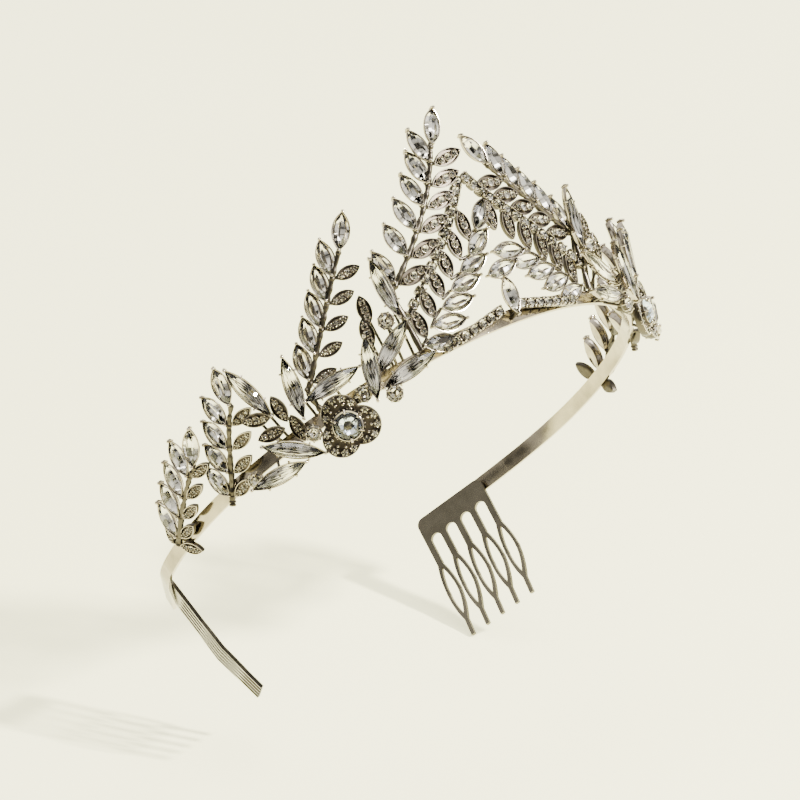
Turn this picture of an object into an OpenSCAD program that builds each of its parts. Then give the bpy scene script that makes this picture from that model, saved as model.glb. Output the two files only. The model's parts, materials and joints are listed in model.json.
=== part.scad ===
// Bridal tiara: a flat metal headband with two hair combs and a leafy front
// of marquise crystals, paved leaves, claw chains and two small flowers.
//
// The origin is the centre of the headband's arc, where the head goes.
// +Z is up as the tiara is worn, -Y is the front and X runs ear to ear.
// Everything is drawn with the band lying flat in the XY plane and is then
// tipped back by worn_pitch, so the front stands above the forehead.

/* [Headband] */
// Radius of the strip's middle line
band_r = 66; // [60:0.5:72]
// Angle from the front to where the arc ends, left side
band_end_left = 103; // [98:1:106]
// Angle of the tighter curl that follows the arc on the left side
curl_left = 19; // [12:1:24]
// Angle from the front to where the strip runs on straight, right side
band_end_right = 122.5; // [118:0.5:126]
// Length of the left straight end
end_l_left = 19; // [18:1:22]
// Length of the right straight end
end_l_right = 27; // [26:1:30]
// Width of the strip
band_w = 3.6; // [3.4:0.1:4.5]
// Thickness of the strip
band_t = 1; // [0.8:0.1:1.4]
// How far the band is tipped back from level when worn
worn_pitch = 52; // [0:1:60]

/* [Combs] */
// Spacing of the comb's teeth
tooth_pitch = 4.7; // [4.4:0.1:5]
// Number of teeth on each comb
teeth = 5; // [4:1:6]
// Thickness of the comb sheet
comb_t = 0.9; // [0.7:0.1:1.2]
// Height of the solid plate above the teeth
plate_h = 7; // [6:0.5:9]
// Length of the looped part of a tooth
loop_l = 17; // [14:0.5:20]
// Length of the straight tip of a tooth
tip_l = 6.5; // [5:0.5:8]
// Angle by which the teeth bend in towards the head
tooth_bend = 8; // [4:1:12]
// Distance of the left comb's middle along its straight end
comb_at_left = 9; // [8:0.5:11]
// Distance of the right comb's middle along its straight end
comb_at_right = 17.5; // [16:0.5:19]
// Angle by which the left comb leans in towards the head
comb_lean_left = 6; // [2:0.5:12]
// Angle by which the right comb leans in towards the head
comb_lean_right = 9; // [4:0.5:14]
// Angle by which the left comb is turned against its straight end
comb_slant_left = 10; // [0:1:12]
// Angle by which the right comb is turned against its straight end
comb_slant_right = 2; // [0:1:6]

/* [Crystals] */
// Length of a standard marquise crystal
stone_l = 9; // [8:0.1:9.5]
// Width of a standard marquise crystal
stone_w = 4.3; // [3.8:0.1:4.5]
// Length of a large marquise crystal
big_l = 15; // [12:0.5:16]
// Width of a large marquise crystal
big_w = 4; // [3.5:0.1:4.5]
// Diameter of a chain stone
chain_d = 2.2; // [1.8:0.1:2.4]
// Diameter of the round stone in each flower
flower_d = 6.6; // [6:0.1:7]

/* [Ornament] */
// Angle by which the front leans outward from the band
lean = 19; // [10:1:25]
// Stones on each side of the straight claw chain
cup_count = 7; // [5:1:8]
// Stones on each leg of the peaked claw chain
arch_count = 14; // [10:1:15]
// Height of the peaked chain above the band
arch_z = 32.5; // [28:0.5:34]

/* [Hidden] */
$fn = 32;

metal = "#b9b3a6";
dark_metal = "#8c8577";
crystal = "#eef1f0";
small_crystal = "#cfd0cb";

// Settings: a low tray holds the stone, with a round claw at each point
tray_h = 1.3;        // height of a crystal's tray
floor_t = 0.6;       // thickness of the tray's floor
rim = 0.35;          // wall of a tray around its stone
claw_r = 0.5;        // radius of a claw
claw_top = 0.7;      // how far a claw stands above its tray
crown_h = 1.1;       // height of a faceted stone above its tray
table_k = 0.5;       // table of a stone as a share of its outline
wire_r = 0.6;        // radius of a stem wire
pitch_chain = 2.8;   // spacing of the stones in a claw chain
cup_h = 1.6;         // height of a chain cup
leaf_l = 9;          // length of a paved leaf
leaf_w = 4.3;        // width of a paved leaf
leaf_t = 1.3;        // thickness of a paved leaf
pave_d = 2;          // diameter of the larger paved stones
face_gap = 0.9;      // from the strip's middle line to the ornament's back

// ---- Placing ----

// Tips the whole tiara back to the angle at which it is worn
module worn() rotate([-worn_pitch, 0, 0]) children();

// Reflects the right-hand side onto the left
module side(left) mirror([left ? 1 : 0, 0, 0]) children();

// Places a flat piece on the leaning front: angle round the band, height above
// the band's middle, distance out, spin from upright and tip-out angle
module on_front(angle, z, out = 0, spin = 0, tip = 0)
    rotate([0, 0, angle])
        translate([0, -(band_r + face_gap + out + max(z, 0) * tan(lean)), z])
            rotate([90 + lean, 0, 0])
                rotate([0, 0, spin])
                    rotate([-tip, 0, 0])
                        children();

// A point of the leaning front in space
function front_point(angle, z, out = 0) =
    let (r = band_r + face_gap + out + max(z, 0) * tan(lean))
    [r * sin(angle), -r * cos(angle), z];

// A point along a bowed stem from foot to tip, each [angle, z]
function along(stem, t) =
    let (foot = stem[0], tip = stem[1], bow = stem[2])
    foot + (tip - foot) * t + [bow * 4 * t * (1 - t), 0];

// ---- Shapes ----

// Pointed oval: two arcs meeting at each end of the length
module marquise(l, w) {
    r = (l * l / 4 + w * w / 4) / w;
    intersection() {
        translate([w / 2 - r, 0]) circle(r, $fn = 96);
        translate([r - w / 2, 0]) circle(r, $fn = 96);
    }
}

// Faceted marquise crystal, its girdle on z = 0, with its long way along Y
module crystal_stone(l, w, depth, height) {
    steps = 5;
    r = (l * l / 4 + w * w / 4) / w;
    half = asin(l / 2 / r);
    arc = [for (i = [0:steps - 1]) let (a = -half + 2 * half * i / steps)
        [r * cos(a) - r + w / 2, r * sin(a)]];
    ring = concat(arc, [for (p = arc) -p]);
    n = len(ring);
    points = concat(
        [for (p = ring) [p[0] * 0.6, p[1] * 0.75, -depth]],
        [for (p = ring) [p[0], p[1], 0]],
        [for (p = ring) [p[0] * table_k, p[1] * 0.62, height]]);
    sides = [for (k = [0, 1], i = [0:n - 1])
        [k * n + i, (k + 1) * n + i, (k + 1) * n + (i + 1) % n, k * n + (i + 1) % n]];
    polyhedron(points, concat([[for (i = [0:n - 1]) i]], sides,
        [[for (i = [n - 1:-1:0]) 2 * n + i]]));
}

// Tray with two claws that holds a marquise crystal
module crystal_tray(l, w) {
    difference() {
        linear_extrude(tray_h) marquise(l + 2 * rim, w + 2 * rim);
        translate([0, 0, floor_t]) linear_extrude(tray_h) marquise(l, w);
    }
    for (s = [-1, 1])
        translate([0, s * (l / 2 + rim), 0])
            cylinder(h = tray_h + claw_top, r = claw_r, $fn = 16);
}

// The crystal that sits in that tray, drawn a hair small so it stays separate
module seated_crystal(l, w)
    translate([0, 0, tray_h]) crystal_stone(l - 0.1, w - 0.1, tray_h - floor_t, crown_h);

// Round stone: a straight girdle, a sloped crown and a flat table
module round_stone(d, base, top) {
    cylinder(h = base, d = d);
    translate([0, 0, base]) cylinder(h = top, d1 = d, d2 = d * 0.55);
}

// Paved leaf plate, its foot at the origin and its tip along +Y
module leaf_plate()
    difference() {
        translate([0, leaf_l / 2, 0]) linear_extrude(leaf_t) marquise(leaf_l, leaf_w);
        for (s = leaf_stones) translate([0, s[0], leaf_t - 0.5]) cylinder(h = 1, d = s[1]);
    }

// Centre distance from the foot and diameter of a leaf's three stones
leaf_stones = [
    [leaf_l * 0.27, pave_d * 0.82],
    [leaf_l * 0.5, pave_d],
    [leaf_l * 0.73, pave_d * 0.82]
];

// The paved stones of one leaf
module leaf_pave()
    for (s = leaf_stones)
        translate([0, s[0], leaf_t - 0.5]) round_stone(s[1] - 0.1, 0.5, 0.5);

// Stem wire through points of the leaning front, each joint a ball
module stem(points, r = wire_r)
    for (i = [0:len(points) - 2])
        wire(points[i], points[i + 1], r);

// Straight round wire between two points, with a ball at its far end
module wire(a, b, r) {
    d = b - a;
    flat = norm([d[0], d[1]]);
    translate(a) {
        rotate([0, atan2(flat, d[2]), atan2(d[1], d[0])]) cylinder(h = norm(d), r = r, $fn = 16);
        sphere(r * 1.15, $fn = 16);
    }
}

// ---- Headband and combs ----

curl_r = 30;         // radius of the tighter curl on the left side

slip = 0.02;         // how much thinner each length of strip is than the one it runs into
run_in = 0.5;        // how far it runs in

// Curved length of strip about the origin, from the front round to an angle
module curved_strip(r, angle, less = 0)
    rotate([0, 0, -90]) rotate_extrude(angle = angle, $fn = 180)
        translate([r - band_t / 2 + less / 2, -band_w / 2 + less / 2])
            square([band_t - less, band_w - less]);

// Straight length of strip along X, touching a circle of radius r at the front
module straight_strip(r, l, less)
    translate([-run_in, -r - band_t / 2 + less / 2, -band_w / 2 + less / 2])
        cube([l + run_in, band_t - less, band_w - less]);

// Spring strip: an arc, a tighter curl on the left and a straight end on each side
module headband() color(metal) worn() {
    lead = run_in / curl_r * 180 / PI;
    rotate([0, 0, -band_end_left]) curved_strip(band_r, band_end_left + band_end_right);
    rotate([0, 0, band_end_right]) straight_strip(band_r, end_l_right, slip);
    side(true) at_curl() {
        rotate([0, 0, -lead]) curved_strip(curl_r, curl_left + lead, slip);
        rotate([0, 0, curl_left]) straight_strip(curl_r, end_l_left, 2 * slip);
    }
}

// Moves a piece to the middle of the left curl
module at_curl() rotate([0, 0, band_end_left]) translate([0, curl_r - band_r, 0]) children();

// Moves a piece to where a straight end starts, X running along the strip and Y
// out from its inner face
module strip_end(left)
    if (left)
        side(true) at_curl() rotate([0, 0, curl_left])
            translate([0, band_t / 2 - slip - curl_r, 0]) children();
    else
        rotate([0, 0, band_end_right]) translate([0, (band_t - slip) / 2 - band_r, 0]) children();

slot_w = tooth_pitch * 0.66;
neck_w = tooth_pitch - slot_w;
comb_w = tooth_pitch * (teeth - 1) + neck_w;
corner_r = 2;        // rounding of the plate's top corners
neck_l = 4;          // from the plate to where a tooth's loop opens
tip_w = 1;           // width of a tooth's straight tip
loop_wall = 1.5;     // length of the loop's solid ends
loop_w = tooth_pitch * 0.86;
open_w = tooth_pitch * 0.55;
land = 0.05;         // how far the flat at a tooth's bend stands out from its wires

// Outline of one tooth below the plate: neck, open loop and straight tip
module tooth_outline() {
    translate([-neck_w / 2, -neck_l - 2]) square([neck_w, neck_l + 3]);
    translate([0, -neck_l - loop_wall - loop_l / 2])
        difference() {
            marquise(loop_l + 2 * loop_wall, loop_w);
            marquise(loop_l - 2 * loop_wall, open_w);
        }
    for (x = [-1, 1])
        translate([x * (loop_w + open_w) / 4, -neck_l - loop_wall - loop_l / 2])
            square([(loop_w - open_w) / 2 + 2 * land, 1], center = true);
    translate([-tip_w / 2, -neck_l - loop_l - tip_l]) square([tip_w, tip_l]);
}

// The comb before it is bent: X along the strip, Y up, its outer face on z = 0
module flat_comb() translate([0, 0, -comb_t]) {
    difference() {
        linear_extrude(comb_t) {
            translate([-comb_w / 2, -plate_h]) square([comb_w, plate_h - corner_r]);
            translate([corner_r - comb_w / 2, -plate_h]) square([comb_w - 2 * corner_r, plate_h]);
            for (x = [-1, 1]) translate([x * (comb_w / 2 - corner_r), -corner_r]) circle(corner_r);
        }
        for (i = [0:teeth - 2])
            translate([(i - teeth / 2 + 1) * tooth_pitch, -plate_h, -1])
                cylinder(h = comb_t + 2, d = slot_w);
    }
    linear_extrude(comb_t)
        for (i = [0:teeth - 1])
            translate([(i - teeth / 2 + 0.5) * tooth_pitch, -plate_h]) tooth_outline();
}

// The comb with its teeth bent in at the middle of their loops
module comb() {
    bend_y = -plate_h - neck_l - loop_wall - loop_l / 2;
    reach = 60;      // more than the comb measures any way
    intersection() {
        flat_comb();
        translate([-reach / 2, bend_y, -reach / 2]) cube(reach);
    }
    translate([0, bend_y, 0]) rotate([tooth_bend, 0, 0]) translate([0, -bend_y, 0])
        intersection() {
            flat_comb();
            translate([-reach / 2, bend_y - reach, -reach / 2]) cube(reach);
        }
}

// The comb's plate lies against the inside of the strip: distance along the
// straight end, lean and slant
module placed_comb(left, at, inward, slant) color(dark_metal) worn() strip_end(left)
    translate([at, 0, band_w / 2])
        rotate([90 + inward, 0, 0])
            rotate([0, 0, slant])
                comb();

module comb_left() placed_comb(true, comb_at_left, comb_lean_left, comb_slant_left);
module comb_right() placed_comb(false, comb_at_right, comb_lean_right, comb_slant_right);

// ---- Centre ----

// Upright crystal on the band's middle, and the level one above it
module centre_setting() color(metal) worn() {
    on_front(0.8, 4.2, 0.6) crystal_tray(stone_l, stone_w);
    on_front(1, 10.4, 0.6, 96) crystal_tray(stone_l, stone_w);
    stem([front_point(0.8, 0), front_point(0.8, 4), front_point(1, 10)]);
}

module centre_stones() color(crystal) worn() {
    on_front(0.8, 4.2, 0.6) seated_crystal(stone_l, stone_w);
    on_front(1, 10.4, 0.6, 96) seated_crystal(stone_l, stone_w);
}

// ---- Claw chains ----

// Square cup with four corner claws and a round seat
module chain_cup() {
    s = pitch_chain - 0.1;
    r = 0.3;         // radius of a corner claw
    difference() {
        translate([-s / 2, -s / 2, 0]) cube([s, s, cup_h]);
        translate([0, 0, floor_t]) cylinder(h = cup_h, d = chain_d);
    }
    for (x = [-1, 1], y = [-1, 1])
        translate([x * (s / 2 - r), y * (s / 2 - r), cup_h - 0.1])
            cylinder(h = 0.5, r = r, $fn = 16);
}

module chain_stone()
    translate([0, 0, floor_t]) round_stone(chain_d - 0.1, cup_h - floor_t, 0.6);

// Straight chain along the band: each cup one pitch further round, easing down
module band_chain() {
    step = pitch_chain / (band_r + face_gap) * 180 / PI;
    for (i = [0:cup_count - 1])
        on_front(3 + i * step * 0.96, 1.8 - 0.55 * i + 0.02 * i * i, 0, 0) children();
}

// Where cup i of the peaked chain sits: from the apex down to the band, a little bowed
arch_line = [[24, 7.5], [1, arch_z], -2.6];
function arch_place(i) = along(arch_line, 1 - i / (arch_count - 1));

module arch_chain()
    for (i = [0:arch_count - 1])
        on_front(arch_place(i)[0], arch_place(i)[1], 0, 40) children();

// The cups of the peaked chain with the wire behind them that links them
module arch_casting() {
    arch_chain() chain_cup();
    stem([for (i = [0:arch_count - 1])
        front_point(arch_place(i)[0], arch_place(i)[1], -0.1)], 0.4);
}

module band_chain_left() color(metal) worn() side(true) band_chain() chain_cup();
module band_chain_right() color(metal) worn() side(false) band_chain() chain_cup();
module band_chain_stones_left() color(small_crystal) worn() side(true) band_chain() chain_stone();
module band_chain_stones_right() color(small_crystal) worn() side(false) band_chain() chain_stone();
module arch_chain_left() color(metal) worn() side(true) arch_casting();
module arch_chain_right() color(metal) worn() side(false) arch_casting();
module arch_stones_left() color(small_crystal) worn() side(true) arch_chain() chain_stone();
module arch_stones_right() color(small_crystal) worn() side(false) arch_chain() chain_stone();

// ---- Sprays ----

// A spray is [stem, seats, crystal, leaf, top]:
//   stem    [foot, tip, bow], foot and tip as [angle, z]
//   seats   [count, first, last], how far up the stem the side pairs sit
//   crystal [spin, tip-out] of the side crystals
//   leaf    [spin, scale] of the paved leaves
//   top     [how far up the stem, spin] of the crystal at the tip
tall_stem = [[24, 13.5], [3, 43], -3.5];
tall_left = [tall_stem, [6, 0.1, 0.82], [-4, 18], [84, 1], [0.96, 31]];
tall_right = [tall_stem, [5, 0.03, 0.53], [-4, 18], [84, 1], [0.68, 27]];
high = [[[46, 5.5], [27, 29.5], -0.7], [5, 0.09, 0.8], [14, 18], [92, 0.78], [1, 36]];
middle = [[[73, -4], [59, 14.5], 0], [4, 0.12, 0.8], [-12, 22], [86, 0.78], [1, 14]];
low = [[[91, 0], [73.5, 9.5], 0], [4, 0.08, 0.86], [8, 18], [93, 0.74], [1, 40]];

function seat(spray, i) =
    let (n = spray[1][0], first = spray[1][1], last = spray[1][2])
    along(spray[0], first + (last - first) * i / (n - 1));

// Puts children at every crystal of a spray, the foot of the crystal at its seat
module spray_crystals(spray) {
    half = stone_l / 2 + rim + claw_r;
    for (i = [0:spray[1][0] - 1]) {
        p = seat(spray, i);
        on_front(p[0], p[1], 0.4, spray[2][0], spray[2][1]) translate([0, half, 0]) children();
    }
    top = along(spray[0], spray[4][0]);
    on_front(top[0], top[1], 0.4, spray[4][1], 8) translate([0, half - claw_r, 0]) children();
}

// Puts children at every leaf of a spray, on the side nearer the middle
module spray_leaves(spray)
    for (i = [0:spray[1][0] - 1]) {
        p = seat(spray, i);
        on_front(p[0], p[1], 0.2, spray[3][0]) scale(spray[3][1]) translate([0, 0.6, 0]) children();
    }

// Stem, trays and leaf plates of a spray, cast in one piece
module spray_casting(spray) {
    steps = 5;
    stem([for (i = [0:steps])
        let (p = along(spray[0], spray[4][0] * i / steps)) front_point(p[0], p[1], 0.2)]);
    spray_crystals(spray) crystal_tray(stone_l, stone_w);
    spray_leaves(spray) leaf_plate();
}

module casting(spray, left) color(metal) worn() side(left) spray_casting(spray);
module crystals(spray, left)
    color(crystal) worn() side(left) spray_crystals(spray) seated_crystal(stone_l, stone_w);
module pave(spray, left) color(small_crystal) worn() side(left) spray_leaves(spray) leaf_pave();

module tall_spray_left() casting(tall_left, true);
module tall_spray_right() casting(tall_right, false);
module tall_spray_crystals_left() crystals(tall_left, true);
module tall_spray_crystals_right() crystals(tall_right, false);
module tall_spray_pave_left() pave(tall_left, true);
module tall_spray_pave_right() pave(tall_right, false);

module high_spray() casting(high, true);
module high_spray_crystals() crystals(high, true);
module high_spray_pave() pave(high, true);

module middle_spray_left() casting(middle, true);
module middle_spray_right() casting(middle, false);
module middle_spray_crystals_left() crystals(middle, true);
module middle_spray_crystals_right() crystals(middle, false);
module middle_spray_pave_left() pave(middle, true);
module middle_spray_pave_right() pave(middle, false);

// The low spray also has two leaves at its foot
module low_foot_leaves() {
    on_front(92, 0.5, 0.4, -10, 35) scale(0.8) children();
    on_front(91, 0, 0.4, 140) scale(0.8) children();
}

module low_spray_left() {
    casting(low, true);
    color(metal) worn() side(true) low_foot_leaves() leaf_plate();
}
module low_spray_right() {
    casting(low, false);
    color(metal) worn() side(false) low_foot_leaves() leaf_plate();
}
module low_spray_crystals_left() crystals(low, true);
module low_spray_crystals_right() crystals(low, false);
module low_spray_pave_left() {
    pave(low, true);
    color(small_crystal) worn() side(true) low_foot_leaves() leaf_pave();
}
module low_spray_pave_right() {
    pave(low, false);
    color(small_crystal) worn() side(false) low_foot_leaves() leaf_pave();
}

// ---- Inner spray, below the peaked chain ----

inner_leaves = 6;
inner_scale = 0.9;   // size of the hanging leaves against the others

// Where leaf i starts, just below the peaked chain, as [angle, z]
function inner_foot(i) = [3.2 + 3.35 * i, arch_z - 6 - 3.2 * i];

module at_inner_leaves()
    for (i = [0:inner_leaves - 1])
        on_front(inner_foot(i)[0], inner_foot(i)[1], 0.3, 180) scale(inner_scale) children();

// Where crystal i starts, near the tip of leaf i, as [angle, z]
function inner_seat(i) = [5 + 3.3 * i, 15.6 - 2.7 * i];
// Its spin from upright: the first stands clear of the second
function inner_spin(i) = i == 0 ? 62 : 73 + 7 * i;
inner_top = [1.6, 20.4];

// Crystals that point to the middle of the tiara, turning down towards the band.
// The left spray also has the first one and a crystal above it.
module at_inner_crystals(left) {
    half = stone_l / 2 + rim;
    for (i = [left ? 0 : 1:inner_leaves - 1])
        on_front(inner_seat(i)[0], inner_seat(i)[1], 0.6, inner_spin(i), 8)
            translate([0, half, 0]) children();
    if (left)
        on_front(inner_top[0], inner_top[1], 0.6, 47, 8) translate([0, half, 0]) children();
}

module inner_casting(left) {
    at_inner_leaves() leaf_plate();
    at_inner_crystals(left) crystal_tray(stone_l, stone_w);
    for (i = [0:inner_leaves - 1]) {
        p = inner_foot(i);
        c = inner_seat(i);
        wire(front_point(p[0], p[1] + 0.8), front_point(p[0], p[1] - 1), 0.5);
        if (left || i > 0)
            wire(front_point(p[0], p[1] - inner_scale * leaf_l + 0.8),
                front_point(c[0], c[1], 0.8), 0.5);
    }
    if (left)
        wire(front_point(inner_top[0], inner_top[1], 0.8),
            front_point(inner_seat(0)[0], inner_seat(0)[1], 0.8), 0.5);
}

module inner_crystals(left)
    color(crystal) worn() side(left) at_inner_crystals(left) seated_crystal(stone_l, stone_w);
module inner_pave(left) color(small_crystal) worn() side(left) at_inner_leaves() leaf_pave();

module inner_spray_left() color(metal) worn() side(true) inner_casting(true);
module inner_spray_right() color(metal) worn() side(false) inner_casting(false);
module inner_spray_crystals_left() inner_crystals(true);
module inner_spray_crystals_right() inner_crystals(false);
module inner_spray_pave_left() inner_pave(true);
module inner_spray_pave_right() inner_pave(false);

// ---- Flower ----

petal_r = 4.6;       // radius of a petal's outline
petal_out = 3.3;     // from the flower's middle to a petal's middle
petal_t = 1.6;       // thickness of the petals
petal_stones = 5;    // paved stones on each petal

module at_flower() on_front(42.3, -5.5, 2.2) children();

// Children once for each petal stone, in an arc near the petal's edge
module at_petal_stones()
    for (p = [0:2], i = [0:petal_stones - 1])
        rotate([0, 0, p * 120])
            translate([0, petal_out, petal_t - 0.5])
                rotate([0, 0, (i - (petal_stones - 1) / 2) * 38])
                    translate([0, petal_r - 0.9, 0])
                        children();

module flower() color(dark_metal) worn() at_flower() {
    difference() {
        union() {
            for (p = [0:2])
                rotate([0, 0, p * 120])
                    translate([0, petal_out, 0]) cylinder(h = petal_t, r = petal_r);
            cylinder(h = petal_t + 0.6, d = flower_d + 0.9);
        }
        translate([0, 0, 1]) cylinder(h = 3, d = flower_d);
        at_petal_stones() cylinder(h = 2, d = 1.6);
    }
    translate([0, 0, -3]) cylinder(h = 3.2, r = 1.2);
    for (i = [0:5])
        rotate([0, 0, i * 60 + 10]) translate([flower_d / 2 + 0.2, 0, petal_t - 0.4])
            cylinder(h = 1.8, r = 0.4, $fn = 16);
}

module flower_stone() color(crystal) worn() at_flower()
    translate([0, 0, 1]) round_stone(flower_d - 0.1, 1.2, 1.3);

module flower_pave() color(small_crystal) worn() at_flower()
    at_petal_stones() round_stone(1.5, 0.5, 0.45);

module flower_left() mirror([1, 0, 0]) flower();
module flower_right() flower();
module flower_stone_left() mirror([1, 0, 0]) flower_stone();
module flower_stone_right() flower_stone();
module flower_pave_left() mirror([1, 0, 0]) flower_pave();
module flower_pave_right() flower_pave();

// ---- Fans of large crystals ----

chaton_d = 3.6;      // diameter of a loose round stone
loose_leaf = 0.86;   // size of the leaves by the flower against the others

// Large crystals as [angle, z, spin, distance out] of their middles
fan_crystals = [[54.3, 14, -9, 1.8], [46.9, 8.9, 16, 2.4], [40.5, 4.6, 90, 2.6],
    [53.5, -3, -49, 3.4], [59, -5.6, -80, 2.4]];
cluster_crystals = [[23.3, 17, 0, 2.4], [33, 2.1, 19, 5.8], [27.5, 4.6, 58, 2.7],
    [26.5, -2, 84, 3]];
// Round stones as [angle, z, distance out]
fan_chatons = [[48.5, -2.6, 3.4], [36.5, -1.2, 2.8], [64, -2.5, 1.4]];
cluster_chatons = [[25.9, 10.4, 2.4], [31.5, -5.2, 3]];
// Paved leaves as [angle, z, spin, distance out] of their feet
fan_leaves = [[51.8, 3.4, 3, 1.4], [53.6, 6.6, -66, 1.5], [52.7, 2.7, -78, 1.6], [50.5, 4.7, -174, 1.7]];
cluster_leaves = [[28.6, 11.6, 8, 1.2], [30.4, 6.6, 8, 1.8]];

module at_list(list, base = 0)
    for (p = list)
        on_front(p[0], p[1], p[3] + base, p[2]) children();

module at_chatons(list)
    for (p = list)
        on_front(p[0], p[1], p[2]) children();

// Post from the band out to the back of a piece
module posts(list)
    for (p = list)
        wire(front_point(p[0], min(max(p[1], -1.6), 1.6), -0.2),
            front_point(p[0], p[1], p[len(p) - 1] + 0.3), 0.7);

module chaton_cup() {
    difference() {
        cylinder(h = 1.6, d = chaton_d + 0.8);
        translate([0, 0, 0.6]) cylinder(h = 2, d = chaton_d);
    }
    for (i = [0:3])
        rotate([0, 0, 45 + i * 90])
            translate([chaton_d / 2 + 0.2, 0, 1.4]) cylinder(h = 0.7, r = 0.35, $fn = 16);
}

module settings(crystals_list, chatons, leaves) {
    at_list(crystals_list) crystal_tray(big_l, big_w);
    at_chatons(chatons) chaton_cup();
    at_list(leaves) scale(loose_leaf) leaf_plate();
    posts(crystals_list);
    posts(chatons);
    posts(leaves);
}

module fan_stones(crystals_list, chatons, leaves) {
    at_list(crystals_list) seated_crystal(big_l, big_w);
    at_chatons(chatons) translate([0, 0, 0.6]) round_stone(chaton_d - 0.1, 1, 0.9);
    at_list(leaves) scale(loose_leaf) leaf_pave();
}

module fan(left) color(metal) worn() side(left) settings(fan_crystals, fan_chatons, fan_leaves);
module fan_set(left)
    color(crystal) worn() side(left) fan_stones(fan_crystals, fan_chatons, fan_leaves);
module cluster(left)
    color(metal) worn() side(left) settings(cluster_crystals, cluster_chatons, cluster_leaves);
module cluster_set(left)
    color(crystal) worn() side(left) fan_stones(cluster_crystals, cluster_chatons, cluster_leaves);

module fan_settings_left() fan(true);
module fan_settings_right() fan(false);
module fan_crystals_left() fan_set(true);
module fan_crystals_right() fan_set(false);
module cluster_settings_left() cluster(true);
module cluster_settings_right() cluster(false);
module cluster_crystals_left() cluster_set(true);
module cluster_crystals_right() cluster_set(false);

headband();
comb_left();
comb_right();
centre_setting();
centre_stones();
band_chain_left();
band_chain_right();
band_chain_stones_left();
band_chain_stones_right();
arch_chain_left();
arch_chain_right();
arch_stones_left();
arch_stones_right();
tall_spray_left();
tall_spray_right();
tall_spray_crystals_left();
tall_spray_crystals_right();
tall_spray_pave_left();
tall_spray_pave_right();
inner_spray_left();
inner_spray_right();
inner_spray_crystals_left();
inner_spray_crystals_right();
inner_spray_pave_left();
inner_spray_pave_right();
high_spray();
high_spray_crystals();
high_spray_pave();
middle_spray_left();
middle_spray_right();
middle_spray_crystals_left();
middle_spray_crystals_right();
middle_spray_pave_left();
middle_spray_pave_right();
low_spray_left();
low_spray_right();
low_spray_crystals_left();
low_spray_crystals_right();
low_spray_pave_left();
low_spray_pave_right();
flower_left();
flower_right();
flower_stone_left();
flower_stone_right();
flower_pave_left();
flower_pave_right();
fan_settings_left();
fan_settings_right();
fan_crystals_left();
fan_crystals_right();
cluster_settings_left();
cluster_settings_right();
cluster_crystals_left();
cluster_crystals_right();
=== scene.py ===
import json
import math
import random

import bmesh
import bpy
from mathutils import Matrix, Vector

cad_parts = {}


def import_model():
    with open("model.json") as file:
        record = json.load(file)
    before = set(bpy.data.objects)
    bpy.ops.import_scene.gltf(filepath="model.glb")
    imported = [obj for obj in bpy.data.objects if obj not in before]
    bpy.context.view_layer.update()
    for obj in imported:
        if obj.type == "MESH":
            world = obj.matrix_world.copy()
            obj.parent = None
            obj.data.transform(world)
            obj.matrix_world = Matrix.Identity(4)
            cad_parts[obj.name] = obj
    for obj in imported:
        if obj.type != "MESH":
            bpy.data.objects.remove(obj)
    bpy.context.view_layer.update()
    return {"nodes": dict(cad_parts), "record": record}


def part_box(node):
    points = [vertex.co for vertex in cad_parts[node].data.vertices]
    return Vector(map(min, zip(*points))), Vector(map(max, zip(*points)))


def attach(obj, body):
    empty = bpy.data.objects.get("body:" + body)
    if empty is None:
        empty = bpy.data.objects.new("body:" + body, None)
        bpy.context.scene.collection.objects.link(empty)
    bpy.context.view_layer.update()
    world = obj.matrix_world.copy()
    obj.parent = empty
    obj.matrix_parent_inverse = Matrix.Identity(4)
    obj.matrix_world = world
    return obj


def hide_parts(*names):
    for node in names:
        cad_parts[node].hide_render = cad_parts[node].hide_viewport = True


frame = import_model()
NODES = frame["nodes"]
HEAD = [m for m in frame["record"]["mounts"] if m["name"] == "head"][0]
BAND_UP = Vector(HEAD["axis"]).normalized()   # square to the headband's plane
ORIGIN = Vector(HEAD["pos_m"])
MM = 0.001
random.seed(11)

# Sizes in millimetres, in each stone's own frame: X across, Y along, Z out
WALL = 0.34            # wall of a boat setting
BOAT_DEPTH = 0.8       # how far a boat reaches below its stone's floor
BEAD = 0.44            # radius of a claw's bead
STEM_R = 0.72          # radius of a stem
SEAT_GAP = 0.75        # from a marquise's foot to its seat on the stem
SEAT_BALL = 0.8        # radius of a stem's swelling under a seat
LEAF_SHARE = 4.5       # length of a leaf over the diameter of its middle stone
LEAF_WIDTH = 0.478     # width of a leaf over its length
LEAF_TOP = 0.62        # height of a leaf's rim
LONG_CRYSTAL = 12      # a longer marquise has side claws and a longer keel
CHATON_MIN = 3         # a wider round stone has a cup with claws of its own
PAVE_MAX = 2.5         # a narrower round stone of a fan or cluster lies in a leaf
PETAL_R = 3.7          # from a petal's centre to its outermost small stone
PETAL_RIM = 0.95       # from there to the petal's edge
STRIP_HALF = 1.2       # half of the strip's height that wires are soldered to

# Points round an outline, and material indices of a shape
OVAL = 14              # points on each side of a marquise outline
OVAL_RING = 2 * OVAL
TREFOIL_RING = 180
# The recess index marks metal inside cups, under stones and on leaf floors: dark oxide of the hollows,
# deepened there with painted shade.
FACE, PIT_OXIDE_AND_SHADE, OTHER = 0, 1, 2          # metal: the faces, the recesses, the second plating
CLEAR_SIDE, FOIL_SIDE = 0, 1        # stones: the cut glass, the foiled back

# Floor, room and camera, in metres
FLOOR_HALF = 6.0
FLOOR_GAP = 0.0002     # between the floor and the lowest corner of the part
FLOOR_GLOW = 1.75      # the paper is lit well past white, as in a bright product studio
ROOM_LIGHT = 1.55
BEHIND_CAMERA = (14, 37), 0.16      # the opening there: reach in degrees, depth
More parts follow.
